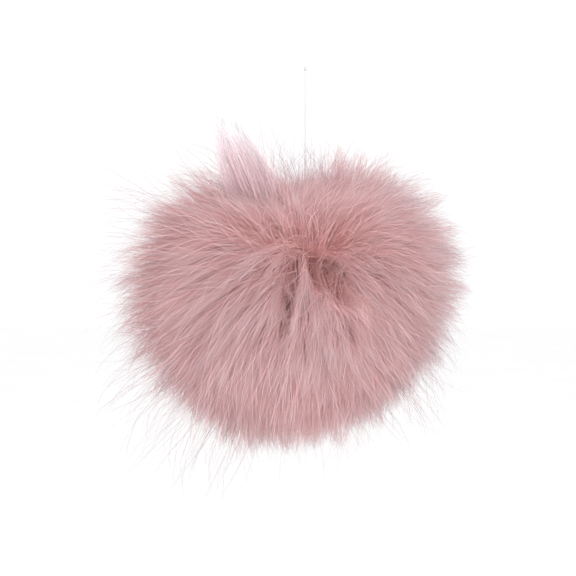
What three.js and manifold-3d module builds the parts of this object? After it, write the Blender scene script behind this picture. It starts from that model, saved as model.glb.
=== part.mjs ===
// A faux fur pompom that hangs on a thin thread. Millimetres, +Z up, -Y is the front.
// The origin is the top of the knot in the thread, where a twig, hook or ceiling pin holds it.
//
// A gathered ball of backing cloth carries the pile. The pile is drawn as locks. Each one is rooted in
// the ball, leaves it square to its surface, then bends with its own weight and with the way the fur
// is combed, and ends in a point on the pompom's outer shape.
import * as THREE from "three";
import { mergeVertices } from "three/addons/utils/BufferGeometryUtils.js";
import Module from "manifold-3d";

// Driving dimensions
const HANG = 85.2; // from the origin down to the ball's middle
const PIECE_GAP = 0.3; // between two pieces that touch

const KNOT_WIDTH = 1.2;
const KNOT_HEIGHT = 1.5;
const KNOT_SIDES = 10;
const THREAD_DIAMETER = 0.3;
const THREAD_SIDES = 8;
const THREAD_STEPS = 70;

const BALL_RADIUS = 18; // the gathered backing under the pile
const BALL_HALF_HEIGHT = 17; // a gathered ball is a little flatter than it is wide
const GATHER_RADIUS = 1.8; // the small flat place where the gathering stitches are drawn tight
const BALL_ROWS = 10;
const BALL_SIDES = 20;

const LOCKS = 270;
const BARE_TOP = 0.985; // no lock ends nearer to the thread than this height, on a ball of radius 1
const PILE_DEPTH = 57; // how far the pile reaches to the front and to the back of the ball's middle

// The outer shape, seen from the front: how far the locks reach from the ball's middle, in mm.
// angle turns from +X up to +Z, in degrees.
const OUTLINE = [
  { angle: 0, reach: 58 },
  { angle: 15, reach: 61 },
  { angle: 30, reach: 61 },
  { angle: 45, reach: 61 },
  { angle: 60, reach: 60 },
  { angle: 75, reach: 58 },
  { angle: 90, reach: 53 },
  { angle: 105, reach: 54 },
  { angle: 120, reach: 62 },
  { angle: 135, reach: 66 },
  { angle: 150, reach: 71 },
  { angle: 165, reach: 73 },
  { angle: 180, reach: 72 },
  { angle: 195, reach: 69 },
  { angle: 210, reach: 67 },
  { angle: 225, reach: 66 },
  { angle: 240, reach: 64 },
  { angle: 255, reach: 60 },
  { angle: 270, reach: 57 },
  { angle: 285, reach: 55 },
  { angle: 300, reach: 52 },
  { angle: 315, reach: 54 },
  { angle: 330, reach: 55 },
  { angle: 345, reach: 55 },
];

// Locks that stand out past the outer shape.
// angle as in the outline, turn is degrees round to the back, and longer is mm past the outer shape.
const TUFTS = [
  { angle: 112, turn: -8, longer: 13 },
  { angle: 108, turn: -2, longer: 8 },
  { angle: 78, turn: -8, longer: 6 },
  { angle: 70, turn: 2, longer: 3 },
  { angle: 60, turn: -4, longer: 2 },
  { angle: 150, turn: 5, longer: 2 },
  { angle: 244, turn: -5, longer: 2 },
];

// Lines that the pile is combed away from: the parting at the front, the gather at the top, the back.
// from and to are directions out of the ball. pull is how far a lock's root lies towards the line from
// its tip, and spread is how far away that is still felt.
const PARTINGS = [
  { from: [-0.26, -0.84, 0.5], to: [0.21, -0.85, 0.5], pull: 0.5, spread: 1.2 },
  { from: [-0.05, 0, 1], to: [0.05, 0, 1], pull: 0.15, spread: 0.5 },
  { from: [-0.15, 0.9, 0.4], to: [0.1, 0.95, 0.3], pull: 0.35, spread: 0.9 },
];
const NEAREST_PULL = 0.5;
const SAG = 0.22; // how far the tips hang below their roots' directions
const TIP_SCATTER = 0.05; // how unevenly the tips are spread
const ROOT_SCATTER = 0.04;
const REACH_SCATTER = 0.05;
const STIFF_SHARE = 0.42; // the share of its way that a lock keeps to its first direction

// A lock's section. Its width is a share of the way to its nearest neighbour.
const LOCK_SIDES = 4;
const LOCK_MOST_WIDE = 4.4; // half its width
const LOCK_FILL = 0.43;
const LOCK_FLATNESS = 0.85; // its thickness as a share of its width
const LOCK_ROOT = 15.5; // how far from the ball's middle a lock starts, inside the ball
const LOCK_RINGS = [
  { along: 0, width: 0.8 },
  { along: 0.42, width: 0.95 },
  { along: 0.74, width: 1 },
];

const furMaterial = new THREE.MeshStandardMaterial({ color: 0xc49699, roughness: 0.9, metalness: 0 });
const threadMaterial = new THREE.MeshStandardMaterial({ color: 0xe6e6e4, roughness: 0.4, metalness: 0 });

const wasm = await Module();
wasm.setup();

// A repeatable number from -1 to 1 for each lock and each use of it.
function scatter(lock, use) {
  const value = Math.sin(lock * 12.9898 + use * 78.233) * 43758.5453;
  return 2 * (value - Math.floor(value)) - 1;
}

// The outline's reach at any angle, smooth through its rows.
function outlineReach(angle) {
  const place = THREE.MathUtils.euclideanModulo(angle, 360) / (360 / OUTLINE.length);
  const row = Math.floor(place);
  const t = place - row;
  const reach = [-1, 0, 1, 2].map((step) => OUTLINE[(row + step + OUTLINE.length) % OUTLINE.length].reach);
  const leave = (reach[2] - reach[0]) / 2;
  const arrive = (reach[3] - reach[1]) / 2;
  const rise = reach[2] - reach[1];
  return reach[1] + t * (leave + t * (3 * rise - 2 * leave - arrive + t * (leave + arrive - 2 * rise)));
}

// How far the pile reaches from the ball's middle in any direction.
function pileReach(direction) {
  const across = Math.hypot(direction.x, direction.z);
  const angle = THREE.MathUtils.radToDeg(Math.atan2(direction.z, direction.x));
  return 1 / Math.hypot(across / outlineReach(angle), direction.y / PILE_DEPTH);
}

// The tips are spread evenly over the outside, along a spiral from its top to its foot.
function tipDirection(lock) {
  const height = BARE_TOP - ((1 + BARE_TOP) * (lock + 0.5)) / LOCKS;
  const turn = lock * Math.PI * (3 - Math.sqrt(5));
  const across = Math.sqrt(1 - height * height);
  const tip = new THREE.Vector3(across * Math.cos(turn), across * Math.sin(turn), height);
  tip.x += TIP_SCATTER * scatter(lock, 1);
  tip.y += TIP_SCATTER * scatter(lock, 2);
  return tip.normalize();
}

// The direction of a lock's root: back from its tip towards each parting, and up against its sag.
function rootDirection(tip, lock) {
  const root = tip.clone();
  for (const { from, to, pull, spread } of PARTINGS) {
    const line = new THREE.Line3(new THREE.Vector3(...from).normalize(), new THREE.Vector3(...to).normalize());
    const away = tip.clone().sub(line.closestPointToPoint(tip, true, new THREE.Vector3()));
    const far = away.length() + 1e-6;
    const share = pull * (1 - Math.exp((-NEAREST_PULL * far) / pull)) * Math.exp(-((far / spread) ** 2));
    root.addScaledVector(away, -share / far);
  }
  root.x += ROOT_SCATTER * scatter(lock, 3);
  root.y += ROOT_SCATTER * scatter(lock, 5);
  root.z += SAG;
  return root.normalize();
}

function tuftDirection(tuft) {
  const angle = THREE.MathUtils.degToRad(tuft.angle);
  const turn = THREE.MathUtils.degToRad(tuft.turn);
  const across = Math.cos(turn);
  return new THREE.Vector3(across * Math.cos(angle), Math.sin(turn), across * Math.sin(angle));
}

function lockPaths() {
  const locks = [];
  for (let lock = 0; lock < LOCKS; lock++) {
    const tip = tipDirection(lock);
    const root = rootDirection(tip, lock);
    locks.push({ root, tip, reach: pileReach(tip) * (1 + REACH_SCATTER * scatter(lock, 4)) });
  }
  // The lock whose tip comes nearest to a tuft becomes that tuft.
  for (const tuft of TUFTS) {
    const aim = tuftDirection(tuft);
    const off = locks.map(({ tip }) => tip.distanceTo(aim));
    const nearest = locks[off.indexOf(Math.min(...off))];
    nearest.tip = aim;
    nearest.reach = pileReach(aim) + tuft.longer;
  }
  return locks.map(({ root, tip, reach }) => {
    const start = root.clone().multiplyScalar(LOCK_ROOT);
    const knee = root.clone().multiplyScalar(BALL_RADIUS + STIFF_SHARE * (reach - BALL_RADIUS));
    return new THREE.QuadraticBezierCurve3(start, knee, tip.multiplyScalar(reach));
  });
}

// How far a point of one lock is from the nearest other lock, and from the thread.
function roomAt(point, own, paths) {
  let room = point.z > 0 ? Math.hypot(point.x, point.y) - THREAD_DIAMETER : Infinity;
  for (const path of paths) {
    if (path === own) continue;
    for (const other of path.samples) room = Math.min(room, point.distanceTo(other));
  }
  return room;
}

// One lock: rings of corners along its path, closed at the root, and drawn to a point at the tip.
function lockGeometry(path, paths) {
  const frames = path.computeFrenetFrames(50, false);
  const corners = [];
  for (const { along, width } of LOCK_RINGS) {
    const middle = path.getPoint(along);
    const half = width * Math.min(LOCK_MOST_WIDE, LOCK_FILL * roomAt(middle, path, paths));
    const frame = Math.round(along * 50);
    for (let side = 0; side < LOCK_SIDES; side++) {
      const turn = (2 * Math.PI * side) / LOCK_SIDES;
      const corner = middle.clone();
      corner.addScaledVector(frames.normals[frame], half * LOCK_FLATNESS * Math.cos(turn));
      corner.addScaledVector(frames.binormals[frame], half * Math.sin(turn));
      corners.push(corner);
    }
  }
  const last = corners.length - LOCK_SIDES;
  const foot = corners.push(path.getPoint(0)) - 1;
  const point = corners.push(path.getPoint(1)) - 1;
  const faces = [];
  for (let side = 0; side < LOCK_SIDES; side++) {
    const next = (side + 1) % LOCK_SIDES;
    faces.push(foot, next, side);
    for (let low = 0; low < last; low += LOCK_SIDES) {
      const high = low + LOCK_SIDES;
      faces.push(low + side, low + next, high + side);
      faces.push(low + next, high + next, high + side);
    }
    faces.push(last + side, last + next, point);
  }
  const geometry = new THREE.BufferGeometry().setFromPoints(corners);
  geometry.setIndex(faces);
  return geometry;
}

// A turned piece with its foot at the lower end of the profile, standing on +Z.
function turned(profile, sides) {
  const points = profile.map(({ out, up }) => new THREE.Vector2(out, up));
  return new THREE.LatheGeometry(points, sides).rotateX(Math.PI / 2);
}

// The gathered ball, with a small flat at the top where the thread is sewn in.
function ballGeometry() {
  const profile = [{ out: 0, up: -BALL_HALF_HEIGHT }];
  for (let row = 1; row < BALL_ROWS; row++) {
    const angle = (Math.PI * row) / BALL_ROWS - Math.PI / 2;
    profile.push({ out: BALL_RADIUS * Math.cos(angle), up: BALL_HALF_HEIGHT * Math.sin(angle) });
  }
  profile.push({ out: GATHER_RADIUS, up: BALL_HALF_HEIGHT });
  profile.push({ out: 0, up: BALL_HALF_HEIGHT });
  return turned(profile, BALL_SIDES);
}

function knotGeometry() {
  const profile = [{ out: 0, up: -KNOT_HEIGHT }];
  for (const { share, out } of [
    { share: 1, out: 0.35 },
    { share: 0.8, out: 0.85 },
    { share: 0.55, out: 1 },
    { share: 0.3, out: 0.9 },
    { share: 0.08, out: 0.5 },
  ]) {
    profile.push({ out: (out * KNOT_WIDTH) / 2, up: -share * KNOT_HEIGHT });
  }
  profile.push({ out: 0, up: 0 });
  return turned(profile, KNOT_SIDES);
}

function threadGeometry() {
  const radius = THREAD_DIAMETER / 2;
  const section = new THREE.Shape();
  for (let side = 0; side < THREAD_SIDES; side++) {
    const turn = (2 * Math.PI * side) / THREAD_SIDES;
    const corner = [radius * Math.cos(turn), radius * Math.sin(turn)];
    if (side) section.lineTo(...corner);
    else section.moveTo(...corner);
  }
  section.closePath();
  const top = new THREE.Vector3(0, 0, -KNOT_HEIGHT - PIECE_GAP);
  const foot = new THREE.Vector3(0, 0, BALL_HALF_HEIGHT + PIECE_GAP - HANG);
  return new THREE.ExtrudeGeometry(section, {
    steps: THREAD_STEPS,
    bevelEnabled: false,
    extrudePath: new THREE.LineCurve3(top, foot),
  });
}

function solidOf(geometry) {
  geometry.deleteAttribute("normal");
  geometry.deleteAttribute("uv");
  const merged = mergeVertices(geometry, 1e-4);
  return new wasm.Manifold(
    new wasm.Mesh({
      numProp: 3,
      vertProperties: merged.attributes.position.array,
      triVerts: new Uint32Array(merged.index.array),
    }),
  );
}

function geometryOf(solid) {
  const { vertProperties, triVerts } = solid.getMesh();
  const geometry = new THREE.BufferGeometry();
  geometry.setAttribute("position", new THREE.BufferAttribute(vertProperties, 3));
  geometry.setIndex(new THREE.BufferAttribute(triVerts, 1));
  const flat = geometry.toNonIndexed();
  flat.computeVertexNormals();
  return flat;
}

function furGeometry() {
  const paths = lockPaths();
  for (const path of paths) path.samples = path.getPoints(16);
  const locks = paths.map((path) => solidOf(lockGeometry(path, paths)));
  return geometryOf(wasm.Manifold.union([solidOf(ballGeometry()), ...locks])).translate(0, 0, -HANG);
}

function piece(name, geometry, material) {
  const mesh = new THREE.Mesh(geometry, material);
  mesh.name = name;
  return mesh;
}

const pompom = new THREE.Group();
pompom.name = "pompom";
pompom.add(piece("fur_ball", furGeometry(), furMaterial));
pompom.add(piece("thread", threadGeometry(), threadMaterial));
pompom.add(piece("thread_knot", knotGeometry(), threadMaterial));

export default pompom;
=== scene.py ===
# %% [markdown]
# # A faux fur pompom on a thread
#
# A fluffy pompom is a disc of long-pile faux fur whose edge is gathered over a little filling, so that
# the pile stands out all round. A thread sewn into the gathers holds it up. This lesson keeps the solid
# model as a fixed frame, and grows the real surface round it: tens of thousands of hairs in wisps, short
# down under them, a few long stray hairs, and the thread with its knot.

import math

import bmesh
import bpy
import numpy as np
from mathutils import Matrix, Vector


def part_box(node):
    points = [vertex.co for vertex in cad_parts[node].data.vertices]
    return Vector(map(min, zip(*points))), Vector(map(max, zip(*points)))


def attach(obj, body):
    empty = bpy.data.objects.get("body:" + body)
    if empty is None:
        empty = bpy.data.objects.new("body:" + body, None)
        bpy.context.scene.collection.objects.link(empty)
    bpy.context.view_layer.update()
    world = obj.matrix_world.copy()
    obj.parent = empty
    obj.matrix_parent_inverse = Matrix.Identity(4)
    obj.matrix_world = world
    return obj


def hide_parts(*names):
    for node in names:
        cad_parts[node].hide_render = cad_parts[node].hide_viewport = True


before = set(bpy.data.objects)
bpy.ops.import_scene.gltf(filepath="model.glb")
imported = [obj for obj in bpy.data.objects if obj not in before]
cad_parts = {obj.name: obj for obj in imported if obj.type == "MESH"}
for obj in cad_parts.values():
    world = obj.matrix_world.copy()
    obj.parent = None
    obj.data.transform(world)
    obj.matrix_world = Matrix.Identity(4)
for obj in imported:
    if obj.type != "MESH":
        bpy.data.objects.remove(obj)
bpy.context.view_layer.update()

# %% [markdown]
# ## The camera
# A small hanging thing is seen level, or from very little above, through a long lens, so that its near
# side doesn't swell. The frame is as wide as the sizes below say, measured where the pompom hangs.

# %% Camera
MM = 0.001
IMAGE_SIDE = 576
MM_PER_PIXEL = 0.358
THREAD_TOP_PIXEL = (305, 68)
LENS = 120
SENSOR = 36
NEAREST_SEEN = 0.01
CAMERA_ELEVATION = math.radians(4)

view_width = IMAGE_SIDE * MM_PER_PIXEL * MM
view_distance = view_width * LENS / SENSOR


def add_object(name, data):
    """A new object in the scene, which holds this mesh, curve, camera or light."""
    made = bpy.data.objects.new(name, data)
    bpy.context.scene.collection.objects.link(made)
    return made


def make_camera():
    camera = add_object("camera", bpy.data.cameras.new("camera"))
    bpy.context.scene.camera = camera
    camera.data.lens = LENS
    camera.data.sensor_width = SENSOR
    camera.data.clip_start = NEAREST_SEEN
    right = IMAGE_SIDE / 2 - THREAD_TOP_PIXEL[0]
    down = IMAGE_SIDE / 2 - THREAD_TOP_PIXEL[1]
    aim = np.array([right * MM_PER_PIXEL * MM, 0, -down * MM_PER_PIXEL * MM])
    back = np.array([0, -math.cos(CAMERA_ELEVATION), math.sin(CAMERA_ELEVATION)])
    camera.location = aim + view_distance * back
    camera.rotation_euler = (math.pi / 2 - CAMERA_ELEVATION, 0, 0)


make_camera()
print("camera stands", round(view_distance, 3), "m away")

# %% [markdown]
# ## The thread
# The thread is taut, because the pompom's weight hangs on it, so it is a straight line of two points. A
# curve with a round bevel makes it, and its length comes from the solid thread.

# %% Thread
thread_low, thread_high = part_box("thread")
THREAD_DIAMETER = 0.3 * MM
THREAD_ROUNDNESS = 2
thread_foot = thread_low.z
thread_head = thread_high.z


def thread_curve(name, points):
    """A round curve of the thread's thickness through these points."""
    curve = bpy.data.curves.new(name, "CURVE")
    curve.dimensions = "3D"
    curve.bevel_depth = THREAD_DIAMETER / 2
    curve.bevel_resolution = THREAD_ROUNDNESS
    spline = curve.splines.new("POLY")
    spline.points.add(len(points) - 1)
    for point, place in zip(spline.points, points):
        point.co = (*place, 1)
    return curve


def make_thread():
    curve = thread_curve("hanging_thread", [(0, 0, thread_foot), (0, 0, thread_head)])
    curve.use_fill_caps = True
    return add_object("hanging_thread", curve)


thread = make_thread()
print("thread, mm:", round((thread_head - thread_foot) / MM, 1))

# %% [markdown]
# ## The knot at the top
# The thread ends in a plain overhand knot, drawn tight. The same thread runs through it as a small
# three-lobed loop, so it is a short round bevel along that loop's formula, turned into a mesh.

# %% Knot
knot_low, knot_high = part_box("thread_knot")
KNOT_STEPS = 72


def knot_point(turn, across, tall):
    """A three-lobed loop that passes over and under itself, as an overhand knot does."""
    x = math.sin(turn) + 2 * math.sin(2 * turn)
    y = math.cos(turn) - 2 * math.cos(2 * turn)
    z = -math.sin(3 * turn)
    return (x / 3 * across, y / 3 * across, z * tall)


def make_knot():
    across = (knot_high.x - knot_low.x) / 2 - THREAD_DIAMETER / 2
    tall = (knot_high.z - knot_low.z) / 2 - THREAD_DIAMETER / 2
    middle = (knot_low.z + knot_high.z) / 2
    loop = []
    for step in range(KNOT_STEPS):
        x, y, z = knot_point(2 * math.pi * step / KNOT_STEPS, across, tall)
        loop.append((x, y, middle + z))
    curve = thread_curve("thread_knot_loops", loop)
    curve.splines[0].use_cyclic_u = True
    drawn = bpy.data.objects.new("thread_knot_loops", curve)
    mesh = bpy.data.meshes.new_from_object(drawn)
    bpy.data.objects.remove(drawn)
    mesh.name = "top_knot"
    mesh.shade_smooth()
    return add_object("top_knot", mesh)


knot = make_knot()
print("knot faces:", len(knot.data.polygons))

# %% [markdown]
# ## The outer shape
# The pile reaches further to one side than to the other, and dips at the top beside the thread. The rows
# give two reaches from the middle of the gathered ball, seen from the front: that of the dense pile, and
# that of the longest loose hairs. A smooth curve through them gives the reach at any angle.

# %% Outer shape
TOUCH_GAP = 0.3 * MM
BALL_RADIUS = 18 * MM
BALL_HALF_HEIGHT = 17 * MM
PILE_DEPTH = 55 * MM
LOOSE_LESS_IN_FRONT = 0.45
ball_middle = np.array([0, 0, thread_foot - TOUCH_GAP - BALL_HALF_HEIGHT])

# angle: (reach of the dense pile, reach of the loose hairs), in mm, counted from +X towards +Z.
OUTLINE = {
    0: (58, 62), 15: (60.5, 65), 30: (60.5, 65), 45: (59, 66), 60: (58, 63), 75: (51.5, 61),
    90: (49.5, 62), 105: (49, 68), 120: (53, 70), 135: (60.5, 80), 150: (68, 87), 165: (69.5, 85),
    180: (69.5, 81), 195: (67.5, 78), 210: (62.5, 84), 225: (60, 86), 240: (57, 80), 255: (55.5, 68),
    270: (53, 65), 285: (47.5, 65), 300: (48.5, 57), 315: (49, 65), 330: (51.5, 62), 345: (54, 59),
}
OUTLINE_STEP = math.radians(15)
PILE_ROW = np.array([row[0] for row in OUTLINE.values()]) * MM
LOOSE_ROW = np.array([row[1] for row in OUTLINE.values()]) * MM


def outline_reach(angle, rows):
    """A reach from one of the two rows, on a smooth curve through its values."""
    place = (angle / OUTLINE_STEP) % len(rows)
    row = np.floor(place).astype(int)
    t = place - row
    before, here, after, beyond = (rows[(row + step) % len(rows)] for step in (-1, 0, 1, 2))
    leave = (after - before) / 2
    arrive = (beyond - here) / 2
    rise = after - here
    return here + t * (leave + t * (3 * rise - 2 * leave - arrive + t * (leave + arrive - 2 * rise)))


def pile_reach(direction):
    """How far the dense pile reaches from the ball's middle in each direction."""
    across = np.hypot(direction[:, 0], direction[:, 2])
    angle = np.arctan2(direction[:, 2], direction[:, 0])
    return 1 / np.hypot(across / outline_reach(angle, PILE_ROW), direction[:, 1] / PILE_DEPTH)


def loose_share(direction):
    """How many times further than the dense pile the longest loose hairs reach."""
    angle = np.arctan2(direction[:, 2], direction[:, 0])
    share = outline_reach(angle, LOOSE_ROW) / outline_reach(angle, PILE_ROW)
    return 1 + (share - 1) * (1 - LOOSE_LESS_IN_FRONT * np.abs(direction[:, 1]))


print("reach to +X, +Z, -X, -Z, mm:", [round(r / MM) for r in PILE_ROW[::6]])

# %% [markdown]
# ## How the pile lies
# Every hair starts square to the backing. Combing turns it away from the partings, its weight turns it
# down, and slow random waves make neighbouring hairs lean together, which makes lumps and hollows.
# Tips cover the outside evenly, so each hair is worked out from its tip: its root is found by going back
# towards the parting, and up. A parting is a short line, and its nearest point is what counts.

# %% Combing
rng = np.random.default_rng(7)
SAG = 0.10
LUMP = 0.08
LUMP_WAVES = 14
LUMP_CLOSENESS = (4, 11)


def named_rows(names, rows):
    """A table as a list of dictionaries, with these names for its columns."""
    return [dict(zip(names.split(), row)) for row in rows]


# from and to are directions out of the ball, pull is how far a hair's root lies towards the parting from
# its tip, and spread is how far away that is still felt.
PARTINGS = named_rows("from to pull spread", [
    ((-0.15, -0.86, 0.48), (0.21, -0.85, 0.49), 0.65, 1.4),
    ((-0.05, 0.0, 1.0), (0.05, 0.0, 1.0), 0.15, 0.5),
    ((-0.15, 0.90, 0.40), (0.10, 0.95, 0.30), 0.40, 0.9),
])
NEAREST_PULL = 0.6


def unit(vectors):
    return vectors / np.linalg.norm(vectors, axis=-1, keepdims=True)


def scattered(directions, amount):
    """The same directions, each turned a little at random."""
    return unit(directions + rng.normal(size=directions.shape) * amount)


def spiral(count):
    """Directions spread evenly over a ball, from its top to its foot."""
    place = np.arange(count) + 0.5
    height = 1 - 2 * place / count
    turn = place * math.pi * (3 - math.sqrt(5))
    across = np.sqrt(1 - height**2)
    return np.stack([across * np.cos(turn), across * np.sin(turn), height], axis=1)


def from_line(points, start, end):
    """How far each point is from its nearest point of a line between two ends, as a vector."""
    start, end = np.array(start), np.array(end)
    along = end - start
    share = np.clip((points - start) @ along / (along @ along), 0, 1)
    return points - (start + share[:, None] * along)


wave_along = unit(rng.normal(size=(LUMP_WAVES, 3))) * rng.uniform(*LUMP_CLOSENESS, (LUMP_WAVES, 1))
wave_push = rng.normal(size=(LUMP_WAVES, 3)) / math.sqrt(LUMP_WAVES)
wave_start = rng.uniform(0, 2 * math.pi, LUMP_WAVES)


def lumps(direction):
    """A slow random push for each direction, nearly the same for neighbours."""
    return np.sin(direction @ wave_along.T + wave_start) @ wave_push


def root_of(tip):
    """Where in the backing the hair that ends at each tip has its root."""
    root = tip.copy()
    for parting in PARTINGS:
        away = from_line(tip, unit(np.array(parting["from"])), unit(np.array(parting["to"])))
        far = np.linalg.norm(away, axis=1, keepdims=True)
        pull = parting["pull"] * (1 - np.exp(-NEAREST_PULL * far / parting["pull"]))
        root -= away / (far + 1e-6) * pull * np.exp(-((far / parting["spread"]) ** 2))
    root += LUMP * lumps(tip)
    root[:, 2] += SAG
    return unit(root)


print("partings:", len(PARTINGS))

# %% [markdown]
# ## Tufts
# A few bunches of pile cling together and stand out of the round shape. Hairs whose tips would end near
# one direction are drawn together towards another, and are left longer. The tallest bunch, beside the
# thread, is a piece of its own, because it rises far above the rest.

# %% Tufts
# from and to are angles in the outline, turn is degrees towards the back, round is how wide the bunch
# is, in degrees, pull is how tightly it is drawn together, and longer is in mm past the outer shape. A
# hair that is WHOLLY_TUFT mm longer has all of its tuft's paleness, and the others have a share of it.
TUFTS = named_rows("from to turn round pull longer", [
    (83, 77.5, -8, 3, 0.75, 8),
    (72, 70, 2, 5, 0.55, 4),
    (62, 60, -4, 5, 0.55, 3),
    (50, 51, 6, 5, 0.5, 3),
    (152, 150, 5, 6, 0.4, 3),
    (18, 18, -5, 6, 0.4, 2),
    (330, 328, -6, 5, 0.5, 3),
    (303, 303, 4, 5, 0.5, 3),
    (244, 244, -5, 7, 0.4, 3),
])
WHOLLY_TUFT = 12


def outline_direction(angle, turn):
    """The direction at an angle in the outline, turned towards the back, both in degrees."""
    angle, turn = math.radians(angle), math.radians(turn)
    return np.array([math.cos(turn) * math.cos(angle), math.sin(turn), math.cos(turn) * math.sin(angle)])


def tufted(tip, reach):
    """Draws the hairs near a tuft together, leaves them longer, and says how much each belongs to one."""
    start = tip.copy()
    longer = np.zeros(len(tip))
    for tuft in TUFTS:
        near = outline_direction(tuft["from"], tuft["turn"])
        aim = outline_direction(tuft["to"], tuft["turn"])
        off = np.arccos(np.clip(start @ near, -1, 1)) / math.radians(tuft["round"])
        share = np.exp(-(off**4))
        tip = unit(tip + tuft["pull"] * share[:, None] * (aim - tip))
        longer = np.maximum(longer, tuft["longer"] * share)
    return tip, reach + longer * MM, np.clip(longer / WHOLLY_TUFT, 0, 1)


print("tufts:", len(TUFTS))

# %% [markdown]
# ## Gaps between wisps
# Near the front parting the pile has opened in a few narrow gaps, where the shaded depth shows. Each is
# a short line over the surface, and the hairs that would cross it are pushed to either side.

# %% Gaps
# from and to are x and z in mm from the ball's middle, open is how far hairs are pushed aside, wide is
# how far from the line that is felt, deep is how far the gap sinks, all in mm, and dark is its shade.
GAPS = named_rows("from to open wide deep dark", [
    ((2.2, 24.5), (5.2, 13.0), 2.2, 2.6, 11, 0.34),
    ((9.3, 19.0), (14.2, 8.7), 2.8, 4.0, 13, 0.42),
    ((-4.3, 20.5), (-7.4, 5.3), 2.1, 2.6, 10, 0.42),
    ((-7.4, 5.3), (-9.2, -7.0), 1.5, 2.1, 7, 0.36),
    ((-2.3, 27.0), (11.0, 26.4), 0.0, 2.2, 4, 0.30),
    ((15.7, -2.0), (17.4, -8.8), 0.9, 1.5, 4, 0.25),
    ((-0.7, -6.4), (0.0, -17.5), 0.8, 1.2, 3, 0.25),
    ((-15, 14), (-21, 6), 0.6, 1.4, 3, 0.18),
])
GAP_FULL_HEIGHT = 16 * MM
PUSHED_WIDER = 1.3
ON_THE_LINE = 0.2 * MM


def front_point(x, z):
    """The point of the outer shape in front of x and z, both in mm from the ball's middle."""
    place = np.array([x, 0, z]) * MM
    angle = np.arctan2([z], [x])
    share = np.hypot(place[0], place[2]) / outline_reach(angle, PILE_ROW)[0]
    place[1] = -PILE_DEPTH * math.sqrt(max(0.0, 1 - share**2))
    return place


GAP_ENDS = [(front_point(*gap["from"]), front_point(*gap["to"])) for gap in GAPS]


def from_gap(points, start, end):
    """The way over the surface from a gap's line to each point, however deep the point lies."""
    out = np.linalg.norm(points, axis=1, keepdims=True)
    away = from_line(points * (np.linalg.norm(start) / out), start, end)
    radial = points / out
    return away - radial * np.sum(away * radial, axis=1, keepdims=True)


def gap_felt(points, gap, ends, spread=1.0):
    """How much each point feels a gap: only near it, on its side, and well above the backing."""
    far = np.linalg.norm(from_gap(points, *ends), axis=1) / (gap["wide"] * spread * MM)
    outer_part = np.clip((np.linalg.norm(points, axis=1) - BALL_RADIUS) / GAP_FULL_HEIGHT, 0, 1)
    same_side = points @ ends[0] > 0
    return np.exp(-(far**2)) * outer_part * same_side


def gap_shade(lines):
    """How shaded each point of each hair is, where it runs through a gap."""
    points = lines.reshape(-1, 3) - ball_middle
    shade = [gap["dark"] * gap_felt(points, gap, ends) for gap, ends in zip(GAPS, GAP_ENDS)]
    return np.max(shade, axis=0).reshape(lines.shape[:-1])


def parted(lines, sink=1.0):
    """Pushes the outer part of each hair away from the gaps, and down into them."""
    points = lines.reshape(-1, 3) - ball_middle
    for gap, ends in zip(GAPS, GAP_ENDS):
        away = from_gap(points, *ends)
        far = np.linalg.norm(away, axis=1, keepdims=True)
        push = gap["open"] * MM * gap_felt(points, gap, ends, PUSHED_WIDER)[:, None]
        down = sink * gap["deep"] * MM * gap_felt(points, gap, ends)[:, None]
        radial = points / np.linalg.norm(points, axis=1, keepdims=True)
        points = points + away / (far + ON_THE_LINE) * push - radial * down
    return (points + ball_middle).reshape(lines.shape)


print("gaps:", len(GAPS))

# %% [markdown]
# ## One hair, many times
# A hair is a thin closed tube with three sides, which tapers to a point. A modifier or a particle system
# could make them, but an array of points is quicker for tens of thousands, and gives a plain mesh. Each
# hair gets a strip of the UV map: across it runs the hair's own tone, and up it runs root to tip. Its
# normals lean towards the outside of the pompom, because a bunch of soft fibres scatters light as one
# rounded surface and not as thousands of hard rods. A hair that stands up on its own is lit from all
# round, so its normals are squarer to it and go round it more.

# %% Hairs from arrays
SIDES = 3
TONES = 32
STRIP_MARGIN = 0.1
STRIP_WIDTH = 0.8
HAIR_MAP = "OFBake"


def bezier(points, along):
    """The points on each hair's curve at these shares of its length."""
    t = along[None, :, None]
    a, b, c, d = (point[:, None, :] for point in points)
    return a * (1 - t) ** 3 + 3 * b * t * (1 - t) ** 2 + 3 * c * t**2 * (1 - t) + d * t**3


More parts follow.
